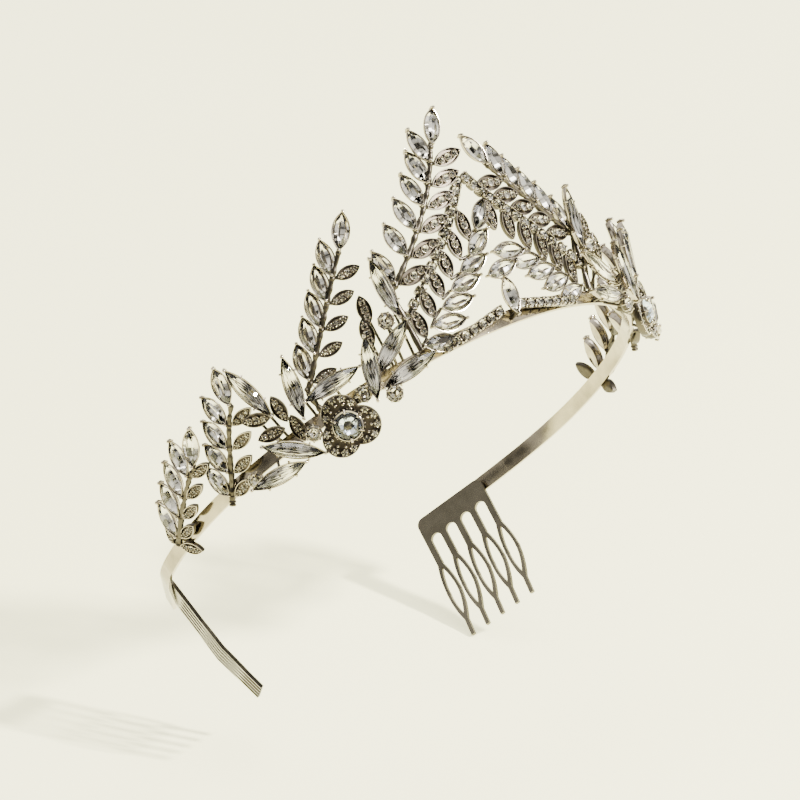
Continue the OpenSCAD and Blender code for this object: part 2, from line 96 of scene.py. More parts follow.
# Darker sides of the room, mirrored by the left of the piece and by the strip's inner face:
# direction, reach in degrees, share lost
DARK_SIDES = [(Vector((-0.85, -0.45, 0.25)).normalized(), (25, 75), 0.6),
              (Vector((-0.943, 0.083, 0.323)).normalized(), (12, 15), 0.5),
              (Vector((-0.961, 0.172, 0.209)).normalized(), (3, 4.5), 0.9)]
CAM_DIR = Vector((-0.5965, -0.6748, 0.4345)).normalized()   # from the origin to the camera
CAM_FAR = 2.648
CAM_LENS = 493
CAM_RIGHT = Vector((0, 0, 1)).cross(CAM_DIR).normalized()
CAM_UP = CAM_DIR.cross(CAM_RIGHT)
AIM = CAM_RIGHT * 1.05 * MM + CAM_UP * 14.1 * MM
WORLD = Matrix.Identity(4)


# ---- Reading the frame ----

def outward(point):
    """Direction away from the head's axis."""
    p = point - ORIGIN
    return (p - BAND_UP * p.dot(BAND_UP)).normalized()


def height(point):
    """Height above the headband's plane, in metres."""
    return (point - ORIGIN).dot(BAND_UP)


def solids(node):
    """The separate solids of a CAD node as lists of (corners, area, normal) of their faces.
    A set hands them out in no fixed order, so random draws fall on other stones in each run."""
    bm = bmesh.new()
    bm.from_mesh(NODES[node].data)
    bmesh.ops.remove_doubles(bm, verts=bm.verts, dist=2e-6)
    left, found = set(bm.faces), []
    while left:
        todo, group = [left.pop()], []
        while todo:
            face = todo.pop()
            group.append(face)
            for v in face.verts:
                for other in v.link_faces:
                    if other in left:
                        left.remove(other)
                        todo.append(other)
        found.append([([v.co.copy() for v in f.verts], f.calc_area(), f.normal.copy()) for f in group])
    bm.free()
    return found


class Stone:
    """A stone's frame and size: origin on the middle of its floor, Y along it, Z out of its table."""

    def __init__(self, faces):
        flats = {}
        for _, area, n in faces:
            key = next((k for k in flats if k.dot(n) > 0.9995), None)
            if key is None:
                key = n.freeze()
                flats[key] = 0
            flats[key] += area
        self.out = -max(flats, key=flats.get)
        corners = [c for f in faces for c in f[0]]
        middle = sum(corners, Vector()) / len(corners)
        far = max(corners, key=lambda c: (c - middle).length)
        other = max(corners, key=lambda c: (c - far).length)
        along = far - other
        self.along = (along - self.out * along.dot(self.out)).normalized()
        self.across = self.along.cross(self.out)
        spans = []
        for axis in (self.across, self.along, self.out):
            d = [c.dot(axis) for c in corners]
            spans.append((min(d), max(d)))
        (x0, x1), (y0, y1), (z0, z1) = spans
        self.w, self.l, self.h = (x1 - x0) / MM, (y1 - y0) / MM, (z1 - z0) / MM
        self.at = self.across * (x0 + x1) / 2 + self.along * (y0 + y1) / 2 + self.out * z0

    def turn(self):
        self.along = -self.along
        self.across = -self.across

    def point(self, x, y, z):
        return self.at + (self.across * x + self.along * y + self.out * z) * MM

    def matrix(self, dx=0.0, dy=0.0, dz=0.0):
        rows = Matrix((self.across, self.along, self.out)).transposed().to_4x4()
        return Matrix.Translation(self.point(dx, dy, dz)) @ rows @ Matrix.Scale(MM, 4)

    def is_long(self):
        return self.l > 1.6 * self.w


def stones(node):
    return [Stone(s) for s in solids(node)]


def leaves(paves):
    """Groups paved stones in threes, each with its widest in the middle: a leaf's frame, Y along it."""
    left, found = list(paves), []
    while left:
        mid = max(left, key=lambda s: s.w)
        left.remove(mid)
        near = sorted(left, key=lambda s: (s.at - mid.at).length)[:2]
        for s in near:
            left.remove(s)
        along = near[0].at - near[1].at
        mid.out = (mid.out + near[0].out + near[1].out).normalized()
        mid.along = (along - mid.out * along.dot(mid.out)).normalized()
        mid.across = mid.along.cross(mid.out)
        mid.trio = [mid] + near
        mid.length = mid.w * LEAF_SHARE
        found.append(mid)
    return found


# ---- Building meshes ----

class Shape:
    """One mesh gathered from parts; a part is (points, faces, material index or list of them)."""

    def __init__(self, name):
        self.name, self.points, self.faces, self.mats, self.smooth = name, [], [], [], []

    def add(self, part, at, smooth=True):
        points, faces, mats = part
        base = len(self.points)
        self.points += [at @ Vector(p) for p in points]
        self.faces += [[base + i for i in f] for f in faces]
        self.mats += mats if isinstance(mats, list) else [mats] * len(faces)
        self.smooth += [smooth] * len(faces)

    def build(self, materials, sharp=38):
        mesh = bpy.data.meshes.new(self.name)
        mesh.from_pydata([tuple(p) for p in self.points], [], self.faces)
        for m in materials:
            mesh.materials.append(m)
        mesh.polygons.foreach_set("material_index", self.mats)
        mesh.polygons.foreach_set("use_smooth", self.smooth)
        bm = bmesh.new()
        bm.from_mesh(mesh)
        bmesh.ops.recalc_face_normals(bm, faces=bm.faces)
        bm.to_mesh(mesh)
        bm.free()
        mesh.set_sharp_from_angle(angle=math.radians(sharp))
        piece = bpy.data.objects.new(self.name, mesh)
        bpy.context.scene.collection.objects.link(piece)
        return piece


def stand_for(piece, node):
    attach(piece, "root")
    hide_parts(node)


def loft(rings, mat=FACE, close=True):
    """Skin over rings of equal length; a closed one has its two ends as the last two faces."""
    n = len(rings[0])
    points = [p for r in rings for p in r]
    faces = []
    last = (len(rings) - 1) * n
    for a in range(0, last, n):
        for i in range(n):
            j = (i + 1) % n
            faces.append([a + i, a + j, a + n + j, a + n + i])
    if close:
        faces.append(list(range(n - 1, -1, -1)))
        faces.append(list(range(last, last + n)))
    return points, faces, mat


def ball(r, mat=FACE, squash=1.0, around=10, up=6):
    points = [(0, 0, -r * squash), (0, 0, r * squash)]
    for k in range(1, up):
        a = -math.pi / 2 + math.pi * k / up
        for i in range(around):
            b = 2 * math.pi * i / around
            points.append((r * math.cos(a) * math.cos(b), r * math.cos(a) * math.sin(b),
                           r * squash * math.sin(a)))
    faces = []
    top = 2 + (up - 2) * around
    for i in range(around):
        j = (i + 1) % around
        faces.append([0, 2 + j, 2 + i])
        faces.append([1, top + i, top + j])
        for k in range(up - 2):
            a, b = 2 + k * around, 2 + (k + 1) * around
            faces.append([a + i, a + j, b + j, b + i])
    return points, faces, mat


def circle(r, z, n=20, phase=0.0):
    step = 2 * math.pi / n
    return [(r * math.cos(step * i + phase), r * math.sin(step * i + phase), z) for i in range(n)]


def pointed_oval(l, w, z, n=OVAL):
    """Outline of a marquise, n points a side, from the lower tip round."""
    r = (l * l / 4 + w * w / 4) / w
    half = math.asin(min(1, l / 2 / r))
    side = []
    for i in range(n):
        a = -half + 2 * half * i / n
        side.append((r * math.cos(a) - r + w / 2, r * math.sin(a)))
    return [(x, y, z) for x, y in side] + [(-x, -y, z) for x, y in side]


def tube(path, radii, mat=FACE, n=12):
    """Round tube through points in metres, with a radius in millimetres at each."""
    rings = []
    up = None
    for k, p in enumerate(path):
        a = path[max(0, k - 1)]
        b = path[min(len(path) - 1, k + 1)]
        d = (b - a).normalized()
        if up is None:
            up = d.orthogonal().normalized()
        up = (up - d * up.dot(d)).normalized()
        side = d.cross(up)
        r = radii[k] * MM
        rings.append([p + up * r * math.cos(t) + side * r * math.sin(t)
                      for t in [2 * math.pi * i / n for i in range(n)]])
    return loft(rings, mat)


def smooth_path(points, steps=6):
    """Catmull-Rom curve through points."""
    p = [points[0] * 2 - points[1]] + list(points) + [points[-1] * 2 - points[-2]]
    out = []
    for k in range(1, len(p) - 2):
        a, b, c, d = p[k - 1], p[k], p[k + 1], p[k + 2]
        for i in range(steps):
            t = i / steps
            out.append(0.5 * (b * 2 + (c - a) * t + (a * 2 - b * 5 + c * 4 - d) * t * t
                              + (b * 3 - a - c * 3 + d) * t * t * t))
    out.append(points[-1])
    return out


# ---- Stones ----

def cut(outline, table, crown, depth, keel, girdle):
    """A cut stone on 2k outline points: table, star and bezel facets, girdle and a foiled back.
    outline(scale x, scale y, z) gives the points; keel is half the length of the back's ridge."""
    g = outline(1, 1, girdle)
    low = outline(0.985, 0.985, girdle - 0.12)
    t = outline(table[0], table[1], girdle + crown)[::2]
    n, k = len(g), len(t)
    points = g + low + t + [(0, -keel, girdle - depth), (0, keel, girdle - depth)]
    faces, mats = [[2 * n + i for i in range(k)]], [CLEAR_SIDE]
    for i in range(k):
        j = (i + 1) % k
        before, at, after = (2 * i - 1) % n, 2 * i, 2 * i + 1
        faces += [[2 * n + i, 2 * n + j, after], [2 * n + i, before, at], [2 * n + i, at, after]]
        mats += [CLEAR_SIDE] * 3
    for i in range(n):
        j = (i + 1) % n
        faces.append([i, j, n + j, n + i])
        mats.append(CLEAR_SIDE)
    end = [2 * n + k, 2 * n + k + 1]
    for i in range(0, n, 2):
        a, b, c = n + i, n + i + 1, n + (i + 2) % n
        tip = end[1] if low[i + 1][1] > 0 else end[0]
        faces += [[a, b, c], [a, c, tip]]
        mats += [FOIL_SIDE] * 2
        if keel > 0:
            following = low[(i + 3) % n][1] > 0
            if (low[i + 1][1] > 0) != following:
                faces.append([c, end[0], end[1]])
                mats.append(FOIL_SIDE)
    return points, faces, mats


def navette(l, w, girdle=0.7, crown=1.05, depth=1.15, k=8):
    def outline(sx, sy, z):
        return pointed_oval(l * sy, w * sx, z, k)
    return cut(outline, (0.5, 0.56), crown, depth, l * (0.2 if l < LONG_CRYSTAL else 0.34), girdle)


def brilliant(d, girdle, crown, depth, k=8, phase=0.0, table=0.56):
    def outline(sx, sy, z):
        return circle(d / 2 * sx, z, 2 * k, phase)
    return cut(outline, (table, table), crown, depth, 0, girdle)


def checker(d, girdle, crown, depth, n=13, rough=0.16):
    """A brilliant whose crown and back are rows of triangles, none quite even."""
    rows = [(0.3, girdle + crown), (0.66, girdle + crown * 0.72), (1, girdle), (0.98, girdle - 0.12),
            (0.62, girdle - depth * 0.45), (0.3, girdle - depth * 0.8), (0.02, girdle - depth)]
    points = []
    for k, (share, z) in enumerate(rows):
        for x, y, h in circle(d / 2 * share, z, n, math.pi * (k % 2) / n):
            stir = rough if share < 0.9 else 0
            points.append((x + random.uniform(-stir, stir), y + random.uniform(-stir, stir),
                           h + random.uniform(-stir, stir)))
    faces, mats = [list(range(n))], [CLEAR_SIDE]
    for k in range(len(rows) - 1):
        for i in range(n):
            j = (i + 1) % n
            a, b = k * n, (k + 1) * n
            near = j if k % 2 else i
            faces += [[a + i, a + j, b + near], [b + i, b + j, a + (i if k % 2 else j)]]
            mats += [FOIL_SIDE if k > 2 else CLEAR_SIDE] * 2
    faces.append([(len(rows) - 1) * n + i for i in range(n)])
    return points, faces, mats + [FOIL_SIDE]


def place_gem(shape, stone, part, tilt=3.0):
    """Adds a stone with a small random tilt, as a stone sits in a hand-set claw."""
    wobble = Matrix.Rotation(math.radians(random.uniform(-tilt, tilt)), 4, "Y")
    wobble = wobble @ Matrix.Rotation(math.radians(random.uniform(-tilt / 2, tilt / 2)), 4, "X")
    points, faces, mats = part
    if not stone.is_long():
        mats = [2 * m for m in mats]      # a round stone's foil is the third material
    shape.add((points, faces, mats), stone.matrix() @ wobble, smooth=False)


# ---- Settings ----

def boat(l, w):
    """Thin-walled boat that holds a marquise stone."""
    top = 0.98
    rings = [
        pointed_oval(l * 0.72, w * 0.42, -BOAT_DEPTH),
        pointed_oval(l * 0.9, w * 0.72, -BOAT_DEPTH + 0.12),
        pointed_oval(l + WALL, w * 0.94, 0.0),
        pointed_oval(l + 2 * WALL, w + 1.5 * WALL, top - 0.55),
        pointed_oval(l + 2 * WALL, w + 1.8 * WALL, top - 0.12),
        pointed_oval(l + 1.7 * WALL, w + 1.3 * WALL, top),
        pointed_oval(l + 0.5 * WALL, w + 0.5 * WALL, top - 0.02),
        pointed_oval(l - 0.1, w - 0.1, top - 0.2),
        pointed_oval(l * 0.9, w * 0.8, -BOAT_DEPTH + 0.18),
    ]
    return loft(rings, [FACE] * (len(rings) - 2) * OVAL_RING + [PIT_OXIDE_AND_SHADE] * OVAL_RING + [FACE, PIT_OXIDE_AND_SHADE])


def tip_claw(shape, stone, sign):
    """Claw with a bead over one tip of a marquise."""
    y = sign * (stone.l / 2 + 0.3)
    foot = stone.point(0, y * 0.97, -0.35)
    neck = stone.point(0, y + sign * 0.16, 0.55)
    head = stone.point(0, y, 1.25)
    shape.add(tube([foot, neck, head], [0.3, 0.4, 0.38], n=10), WORLD)
    shape.add(ball(BEAD, squash=0.9), stone.matrix(0, y - sign * 0.06, 1.32))


def side_claw(shape, stone, sx, y):
    """Claw over one side of a marquise, y from its middle."""
    reach = 0.5 * stone.w * math.sqrt(max(0.05, 1 - (2 * y / stone.l) ** 2)) * 1.02
    a = stone.point(sx * (reach + 0.1), y, -0.1)
    b = stone.point(sx * (reach + 0.34), y, 0.7)
    c = stone.point(sx * (reach - 0.12), y, 1.18)
    shape.add(tube([a, b, c], [0.22, 0.27, 0.2], n=8), WORLD)


def marquise_setting(shape, stone):
    shape.add(boat(stone.l, stone.w), stone.matrix())
    for sign in (-1, 1):
        tip_claw(shape, stone, sign)
    if stone.l > LONG_CRYSTAL:
        for sx in (-1, 1):
            for share in (-0.52, 0.5):
                side_claw(shape, stone, sx, share * stone.l / 2)


def paved_leaf(shape, leaf):
    """Leaf with a raised rim, a floor of dark oxide deepened with painted shade, and three stones held by
    bead grains.
    """
    l, w, top = leaf.length, leaf.length * LEAF_WIDTH, LEAF_TOP
    rings = [
        pointed_oval(l * 0.8, w * 0.7, -0.8),
        pointed_oval(l * 0.97, w * 0.95, -0.55),
        pointed_oval(l, w, 0.1),
        pointed_oval(l, w, top - 0.1),
        pointed_oval(l - 0.14, w - 0.14, top),
        pointed_oval(l - 0.5, w - 0.42, top),
        pointed_oval(l - 0.62, w - 0.52, top - 0.2),
        pointed_oval(l - 0.9, w - 0.8, -0.4),
    ]
    mats = [OTHER] * 3 + [FACE] * 2 + [PIT_OXIDE_AND_SHADE] * 2
    shape.add(loft(rings, [m for m in mats for _ in range(OVAL_RING)] + [OTHER, PIT_OXIDE_AND_SHADE]), leaf.matrix())
    grains = []
    for s in leaf.trio:
        d = s.at - leaf.at
        y = d.dot(leaf.along) / MM
        r = s.w / 2
        grains += [(sx * r * 0.86, y + sy * r * 0.66) for sx in (-1, 1) for sy in (-1, 1)]
        collar = [circle(r + 0.17, 0.1), circle(r + 0.17, top - 0.1), circle(r + 0.08, top - 0.02),
                  circle(r - 0.04, top - 0.04)]
        shape.add(loft(collar, PIT_OXIDE_AND_SHADE, close=False), leaf.matrix(0, y))
    grains += [(0, sy * (l / 2 - 0.85)) for sy in (-1, 1)]
    for x, y in grains:
        shape.add(ball(random.uniform(0.19, 0.25), around=8, up=5), leaf.matrix(x, y, top + 0.02))


def chain_setting(shape, stone, run):
    """Square cup of a claw chain, turned along the chain, with four corner claws."""
    stone.along = (run - stone.out * run.dot(stone.out)).normalized()
    stone.across = stone.along.cross(stone.out)
    s, r = stone.w * 0.59, stone.w / 2 + 0.06
    n, power = 24, 5.0

    def square(k, z):
        ring = []
        for i in range(n):
            a = 2 * math.pi * i / n
            c, d = math.cos(a), math.sin(a)
            q = (abs(c) ** power + abs(d) ** power) ** (-1 / power)
            ring.append((k * q * c, k * q * d, z))
        return ring

    rings = [square(s * 0.8, -0.6), square(s * 0.95, -0.5), square(s, 0.0), square(s, 0.85),
             square(s * 0.97, 0.95), circle(r + 0.08, 0.97, n), circle(r - 0.05, 0.8, n),
             circle(r * 0.8, -0.35, n)]
    mats = [OTHER] * 3 + [FACE] + [OTHER] + [PIT_OXIDE_AND_SHADE] * 2
    shape.add(loft(rings, [m for m in mats for _ in range(n)] + [OTHER, PIT_OXIDE_AND_SHADE]), stone.matrix())
    for sx in (-1, 1):
        for sy in (-1, 1):
            a = stone.point(sx * s * 0.78, sy * s * 0.78, 0.4)
            b = stone.point(sx * s * 0.78, sy * s * 0.78, 1.15)
            c = stone.point(sx * s * 0.62, sy * s * 0.62, 1.38)
            shape.add(tube([a, b, c], [0.3, 0.3, 0.26], n=8), WORLD)
            shape.add(ball(0.29, around=8, up=5), stone.matrix(sx * s * 0.62, sy * s * 0.62, 1.36))


def chaton_setting(shape, stone, claws=8):
    """Round cup with a ring of claws round a brilliant."""
    r = stone.w / 2
    n = 28
    rings = [circle(r * 0.62, -0.6, n), circle(r * 0.8, -0.5, n), circle(r + 0.2, 0.3, n),
             circle(r + 0.36, 0.85, n), circle(r + 0.32, 1.0, n), circle(r + 0.1, 1.04, n),
             circle(r - 0.03, 0.9, n), circle(r * 0.7, -0.45, n)]
    mats = [OTHER] * 4 + [FACE] + [PIT_OXIDE_AND_SHADE] * 2
    shape.add(loft(rings, [m for m in mats for _ in range(n)] + [OTHER, PIT_OXIDE_AND_SHADE]), stone.matrix())
    for i in range(claws):
        a = 2 * math.pi * (i + 0.5) / claws
        x, y = math.cos(a), math.sin(a)
        p = [stone.point(x * (r + 0.2), y * (r + 0.2), 0.2), stone.point(x * (r + 0.3), y * (r + 0.3), 1.0),
             stone.point(x * (r + 0.02), y * (r + 0.02), 1.36)]
        shape.add(tube(p, [0.24, 0.28, 0.24], n=8), WORLD)
        shape.add(ball(0.26, around=8, up=5), stone.matrix(x * (r + 0.02), y * (r + 0.02), 1.34))


def wire(shape, a, b, r0, r1, mat=OTHER):
    """Straight wire with round ends, r0 thick at a and r1 at b."""
    shape.add(tube([a, (a + b) / 2, b], [r0, (r0 + r1) / 2, r1], mat, n=10), WORLD)
    for p, r in ((a, r0), (b, r1)):
        shape.add(ball(r * 1.02, mat, around=10), Matrix.Translation(p) @ Matrix.Scale(MM, 4))


# ---- Materials ----

def node_material(name):
    mat = bpy.data.materials.new(name)
    mat.use_nodes = True
    nodes = mat.node_tree.nodes
    return mat, nodes, mat.node_tree.links, nodes["Principled BSDF"]


def noise(nodes, links, scale, detail=4.0, rough=0.55):
    where = nodes.new("ShaderNodeTexCoord")
    tex = nodes.new("ShaderNodeTexNoise")
    tex.inputs["Scale"].default_value = scale
    tex.inputs["Detail"].default_value = detail
    tex.inputs["Roughness"].default_value = rough
    links.new(where.outputs["Object"], tex.inputs["Vector"])
    return tex


def ramp(nodes, links, source, stops):
    r = nodes.new("ShaderNodeValToRGB")
    els = r.color_ramp.elements
    while len(els) < len(stops):
        els.new(0.5)
    for el, (at, col) in zip(els, stops):
        el.position = at
        el.color = (*col, 1)
    links.new(source, r.inputs["Fac"])
    return r


def span(nodes, links, source, lo, hi):
    m = nodes.new("ShaderNodeMapRange")
    m.inputs["To Min"].default_value = lo
    m.inputs["To Max"].default_value = hi
    links.new(source, m.inputs["Value"])
    return m


def bump(nodes, links, source, shader, strength, distance):
    b = nodes.new("ShaderNodeBump")
    b.inputs["Strength"].default_value = strength
    b.inputs["Distance"].default_value = distance
    links.new(source, b.inputs["Height"])
    links.new(b.outputs["Normal"], shader.inputs["Normal"])


def plating(name, light, dark, rough=(0.1, 0.26), tarnish=0.4):
    """Polished plating: a soft mottle of tone, fine handling marks and a trace of ripple."""
    mat, nodes, links, shader = node_material(name)
    shader.inputs["Metallic"].default_value = 1
    broad = noise(nodes, links, 260, 3)
    tone = ramp(nodes, links, broad.outputs["Fac"], [(tarnish - 0.12, dark), (tarnish + 0.22, light)])
    links.new(tone.outputs["Color"], shader.inputs["Base Color"])
    fine = noise(nodes, links, 1500, 6, 0.7)
    spread = span(nodes, links, fine.outputs["Fac"], *rough)
    links.new(spread.outputs["Result"], shader.inputs["Roughness"])
    bump(nodes, links, broad.outputs["Fac"], shader, 0.25, 0.0001)
    return mat


def glass(name, colour, rough=(0.0, 0.02)):
    mat, nodes, links, shader = node_material(name)
    shader.inputs["Base Color"].default_value = (*colour, 1)
    shader.inputs["Transmission Weight"].default_value = 1
    shader.inputs["IOR"].default_value = 1.56
    fine = noise(nodes, links, 700, 2)
    spread = span(nodes, links, fine.outputs["Fac"], *rough)
    links.new(spread.outputs["Result"], shader.inputs["Roughness"])
    return mat


def foil(name, light, dark):
    mat, nodes, links, shader = node_material(name)
    shader.inputs["Metallic"].default_value = 1
    broad = noise(nodes, links, 420, 3)
    tone = ramp(nodes, links, broad.outputs["Fac"], [(0.3, dark), (0.6, light)])
    links.new(tone.outputs["Color"], shader.inputs["Base Color"])
    spread = span(nodes, links, broad.outputs["Fac"], 0.02, 0.07)
    links.new(spread.outputs["Result"], shader.inputs["Roughness"])
    return mat


SILVER = plating("silver plating", (0.51, 0.46, 0.385), (0.265, 0.235, 0.185), (0.1, 0.22))
BAND_METAL = plating("strip plating", (0.47, 0.415, 0.315), (0.38, 0.335, 0.25), (0.1, 0.2))
# Recess plating: dark oxide of the hollows, made darker still as painted shade where shade falls inside
# cups and under stones.
RECESS_OXIDE_AND_SHADE = plating("recess oxide and painted shade", (0.16, 0.135, 0.105), (0.05, 0.04, 0.03), (0.25, 0.5))
ANTIQUE = plating("antique plating", (0.112, 0.099, 0.078), (0.044, 0.038, 0.030), (0.24, 0.42))
STEEL = plating("comb plating", (0.20, 0.182, 0.14), (0.155, 0.14, 0.106), (0.18, 0.3))
CLEAR = glass("clear crystal", (0.99, 0.99, 0.98))
FOIL = foil("crystal foil", (0.98, 0.96, 0.91), (0.88, 0.86, 0.81))
SMALL_FOIL = foil("small crystal foil", (0.90, 0.87, 0.79), (0.34, 0.32, 0.275))
COOL = glass("cool crystal", (0.93, 0.965, 1.0))
COOL_FOIL = foil("cool foil", (0.84, 0.91, 1.0), (0.62, 0.72, 0.88))


# ---- Sub-parts ----

def cast(shape):
    """Builds a silver casting in the place of the node it's named after."""
    stand_for(shape.build([SILVER, RECESS_OXIDE_AND_SHADE, ANTIQUE]), shape.name)


def seat_of(stone):
    return stone.point(0, -(stone.l / 2 + SEAT_GAP), 0.1)


def set_feet(crystals, paved):
    """Turns each crystal so that its foot is the end nearer to a leaf, and each leaf towards a foot."""
    for c in crystals:
        ends = [c.point(0, s * c.l / 2, 0) for s in (-1, 1)]
        d = [min((e - leaf.at).length for leaf in paved) for e in ends]
        if d[1] < d[0]:
            c.turn()
    for leaf in paved:
        ends = [leaf.point(0, s * leaf.length / 2, 0) for s in (-1, 1)]
        d = [min((e - seat_of(c)).length for c in crystals) for e in ends]
        if d[1] < d[0]:
            leaf.turn()


def gems(node, items):
    """Cuts a node's stones; the round ones have a darker foil than the long ones."""
    shape = Shape(node)
    for s in items:
        if s.is_long():
            place_gem(shape, s, navette(s.l, s.w, k=8 if s.l < LONG_CRYSTAL else 6))
        elif s.w > CHATON_MIN:
            place_gem(shape, s, brilliant(s.w, s.h * 0.5, s.h * 0.4, 0.44 * s.w, 8, 0.2, 0.5), 1)
        else:
            place_gem(shape, s, brilliant(s.w, s.h * 0.5, s.h * 0.45, 0.75, 6,
                                          random.uniform(0, 1)), 5)
    stand_for(shape.build([CLEAR, FOIL, SMALL_FOIL]), node)


def knot(k):
    """Swelling of a cast stem at ring k."""
    return 1 + 0.24 * math.sin(1.15 * k) * math.sin(0.31 * k) + random.uniform(-0.06, 0.06)


def spray(metal_node, crystal_node, pave_node):
    """Marquise trays and paved leaves on one stem that runs through the trays' seats."""
    crystals = stones(crystal_node)
    paves = stones(pave_node)
    paved = leaves(paves)
    set_feet(crystals, paved)
    gems(crystal_node, crystals)
    gems(pave_node, paves)
    metal = Shape(metal_node)
    for c in crystals:
        marquise_setting(metal, c)
    for leaf in paved:
        paved_leaf(metal, leaf)
    feet = sorted((seat_of(c) for c in crystals), key=height)
    first = feet[0] + (feet[0] - feet[1]).normalized() * 2.2 * MM
    path = [first] + feet
    if height(first) > 3 * MM:
        low = first - BAND_UP * (height(first) - 1.0 * MM)
        path = [low - outward(first) * (height(first) * 0.3)] + path
    curve = smooth_path(path, 12)
    radii = [STEM_R * (1.1 - 0.35 * k / len(curve)) * knot(k) for k in range(len(curve))]
    metal.add(tube(curve, radii, OTHER), WORLD)
    for p in feet:
        metal.add(ball(SEAT_BALL, OTHER, squash=0.9), Matrix.Translation(p) @ Matrix.Scale(MM, 4))
    for c in crystals:
        wire(metal, seat_of(c), c.point(0, -c.l / 2 + 0.4, -0.35), 0.6, 0.4)
    for leaf in paved:
        foot = leaf.point(0, -leaf.length / 2 + 0.5, -0.2)
        near = min(curve, key=lambda p: (p - foot).length)
        wire(metal, near, foot, 0.55, 0.44)
    cast(metal)


def inner_spray(side):
    """The spray that hangs from the peaked chain, its trays wired to the nearest leaf's tip."""
    crystals = stones("inner_spray_crystals_" + side)
    paves = stones("inner_spray_pave_" + side)
    paved = leaves(paves)
    set_feet(crystals, paved)
    gems("inner_spray_crystals_" + side, crystals)
    gems("inner_spray_pave_" + side, paves)
    metal = Shape("inner_spray_" + side)
    for c in crystals:
        marquise_setting(metal, c)
        foot = seat_of(c)
        ends = [leaf.point(0, s * leaf.length / 2, 0) for leaf in paved for s in (-1, 1)]
        near = min(ends, key=lambda p: (p - foot).length)
        wire(metal, near, c.point(0, -c.l / 2 - 0.2, -0.1), 0.4, 0.46)
    peak = [s.at for s in stones("arch_stones_" + side)]
    for leaf in paved:
        paved_leaf(metal, leaf)
        top = max((leaf.point(0, s * leaf.length / 2, -0.1) for s in (-1, 1)), key=height)
        near = min(peak, key=lambda p: (p - top).length)
        wire(metal, top, near, 0.4, 0.4)
    cast(metal)


def chain(metal_node, stone_node):
    """Claw chain: cups in a row from left to right, joined by a wire."""
    row = sorted(stones(stone_node), key=lambda s: s.at.x)
    metal = Shape(metal_node)
    for i, s in enumerate(row):
        run = row[min(i + 1, len(row) - 1)].at - row[max(i - 1, 0)].at
        chain_setting(metal, s, run)
    for a, b in zip(row, row[1:]):
        wire(metal, a.point(0, 0, -0.2), b.point(0, 0, -0.2), 0.45, 0.45)
    gems(stone_node, row)
    cast(metal)


def band_point(point):
    """The nearest point on the front of the headband's strip."""
    flat = outward(point)
    h = max(-STRIP_HALF * MM, min(STRIP_HALF * MM, height(point)))
    return ORIGIN + flat * BAND_R + BAND_UP * h


def cluster(metal_node, stone_node):
    """Long trays, cups and paved leaves, each on its own wire from the strip."""
    every = stones(stone_node)
    small = [s for s in every if s.w < PAVE_MAX and not s.is_long()]
    big = [s for s in every if s.is_long()]
    chatons = [s for s in every if s.w > CHATON_MIN and not s.is_long()]
    paved = leaves(small)
    gems(stone_node, every)
    metal = Shape(metal_node)
    for s in big:
        marquise_setting(metal, s)
    for s in chatons:
        chaton_setting(metal, s)
    for leaf in paved:
        paved_leaf(metal, leaf)
    for s in big + chatons + paved:
        back = s.point(0, 0, -0.55)
        wire(metal, band_point(back), back, 0.38, 0.34)
    cast(metal)


